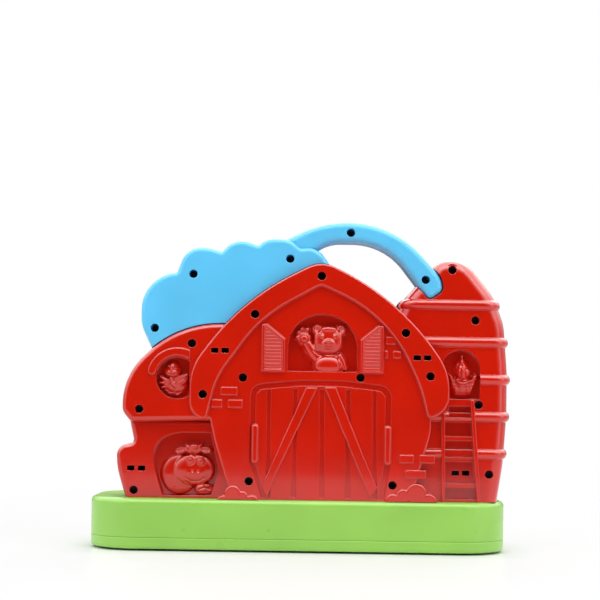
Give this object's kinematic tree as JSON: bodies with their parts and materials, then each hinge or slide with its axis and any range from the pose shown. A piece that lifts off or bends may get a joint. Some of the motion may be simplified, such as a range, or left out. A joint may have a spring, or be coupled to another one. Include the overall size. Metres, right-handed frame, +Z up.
{
  "type": "talking farm toy",
  "caption": "Free-standing barn-shaped talking toy: red barn and silo shells with a cloud and carry handle on a green base, with press keys, swing doors and a spinner.",
  "frame": {"origin": "middle of the footprint on the table", "axes": "+Z up, +X along the toy, +Y towards the play side; the screw side faces -Y"},
  "size_m": [0.3012, 0.1, 0.2356],
  "materials": {
    "red_shell": "gloss moulded",
    "blue_shell": "gloss moulded",
    "green_base": "satin gloss moulded",
    "foot_rubber": "matt",
    "cell_jacket": "satin",
    "contact_steel": "plated",
    "screw_steel": "plated",
    "board_green": "lacquered",
    "black_plastic": "satin",
    "orange_plastic": "gloss moulded",
    "speaker_paper": "paper",
    "white_plastic": "gloss moulded",
    "brown_plastic": "gloss moulded",
    "pink_plastic": "gloss moulded",
    "yellow_plastic": "gloss moulded",
    "purple_plastic": "gloss moulded",
    "silicone": "translucent matt"
  },
  "bodies": {
    "housing": {"back_shell": "red_shell", "barn_door_pins": "contact_steel", "base_lower": "green_base", "base_screws": "screw_steel", "base_upper": "green_base", "battery_cells": "cell_jacket", "battery_door": "green_base", "battery_springs": "contact_steel", "board_chips": "black_plastic", "board_screws": "screw_steel", "cloud_back": "blue_shell", "cloud_front": "blue_shell", "cloud_screws": "screw_steel", "contact_plates": "contact_steel", "cow_dome": "silicone", "cub_dome": "silicone", "door_screw": "screw_steel", "duck_axle": "contact_steel", "foot_screws": "screw_steel", "front_shell": "red_shell", "handle_back": "blue_shell", "handle_end_screw": "screw_steel", "handle_front": "blue_shell", "handle_screw": "screw_steel", "hen_board": "board_green", "hen_dome": "silicone", "main_board": "board_green", "pig_board": "board_green", "pig_dome": "silicone", "rubber_feet": "foot_rubber", "shell_screws": "screw_steel", "shutter_pins": "contact_steel", "song_board": "board_green", "song_board_screws": "screw_steel", "song_dome_1": "silicone", "song_dome_2": "silicone", "song_dome_3": "silicone", "speaker_cone": "speaker_paper", "speaker_frame": "contact_steel", "speaker_screws": "screw_steel", "switch_case": "black_plastic"},
    "cow": {"cow_key": "white_plastic"},
    "cub": {"cub_key": "brown_plastic"},
    "pig": {"pig_key": "pink_plastic"},
    "hen": {"hen_key": "white_plastic"},
    "song_one": {"song_key_1": "yellow_plastic"},
    "song_two": {"song_key_2": "orange_plastic"},
    "song_three": {"song_key_3": "purple_plastic"},
    "duck": {"duck_wheel": "yellow_plastic"},
    "volume": {"switch_knob": "orange_plastic"},
    "left_door": {"left_barn_door": "white_plastic"},
    "right_door": {"right_barn_door": "white_plastic"},
    "left_loft": {"left_shutter": "yellow_plastic"},
    "right_loft": {"right_shutter": "yellow_plastic"}
  },
  "joints": [
    {"name": "cow_press", "type": "slide", "parent": "housing", "child": "cow", "axis": [0, -1, 0], "range_m": [0, 0.002], "stiffness_N_per_m": 400, "springref_m": -0.0006, "deforming": ["cow_dome"]},
    {"name": "cub_press", "type": "slide", "parent": "housing", "child": "cub", "axis": [0, -1, 0], "range_m": [0, 0.002], "stiffness_N_per_m": 400, "springref_m": -0.0006, "deforming": ["cub_dome"]},
    {"name": "pig_press", "type": "slide", "parent": "housing", "child": "pig", "axis": [0, -1, 0], "range_m": [0, 0.002], "stiffness_N_per_m": 400, "springref_m": -0.0006, "deforming": ["pig_dome"]},
    {"name": "hen_press", "type": "slide", "parent": "housing", "child": "hen", "axis": [0, -1, 0], "range_m": [0, 0.002], "stiffness_N_per_m": 400, "springref_m": -0.0006, "deforming": ["hen_dome"]},
    {"name": "song_one_press", "type": "slide", "parent": "housing", "child": "song_one", "axis": [0, 0, -1], "range_m": [0, 0.0022], "stiffness_N_per_m": 400, "springref_m": -0.0006, "deforming": ["song_dome_1"]},
    {"name": "song_two_press", "type": "slide", "parent": "housing", "child": "song_two", "axis": [0, 0, -1], "range_m": [0, 0.0022], "stiffness_N_per_m": 400, "springref_m": -0.0006, "deforming": ["song_dome_2"]},
    {"name": "song_three_press", "type": "slide", "parent": "housing", "child": "song_three", "axis": [0, 0, -1], "range_m": [0, 0.0022], "stiffness_N_per_m": 400, "springref_m": -0.0006, "deforming": ["song_dome_3"]},
    {"name": "duck_spin", "type": "hinge", "parent": "housing", "child": "duck", "pos_m": [-0.0975, 0.008, 0.124], "axis": [0, 1, 0], "continuous": true},
    {"name": "volume_slide", "type": "slide", "parent": "housing", "child": "volume", "axis": [1, 0, 0], "range_m": [0, 0.007]},
    {"name": "left_door_swing", "type": "hinge", "parent": "housing", "child": "left_door", "pos_m": [-0.0335, 0.0132, 0.0777], "axis": [0, 0, 1], "range_deg": [0, 110]},
    {"name": "right_door_swing", "type": "hinge", "parent": "housing", "child": "right_door", "pos_m": [0.0635, 0.0132, 0.0777], "axis": [0, 0, -1], "range_deg": [0, 110]},
    {"name": "left_loft_swing", "type": "hinge", "parent": "housing", "child": "left_loft", "pos_m": [-0.0115, 0.0132, 0.148], "axis": [0, 0, 1], "range_deg": [0, 110]},
    {"name": "right_loft_swing", "type": "hinge", "parent": "housing", "child": "right_loft", "pos_m": [0.0435, 0.0132, 0.148], "axis": [0, 0, -1], "range_deg": [0, 110]}
  ]
}
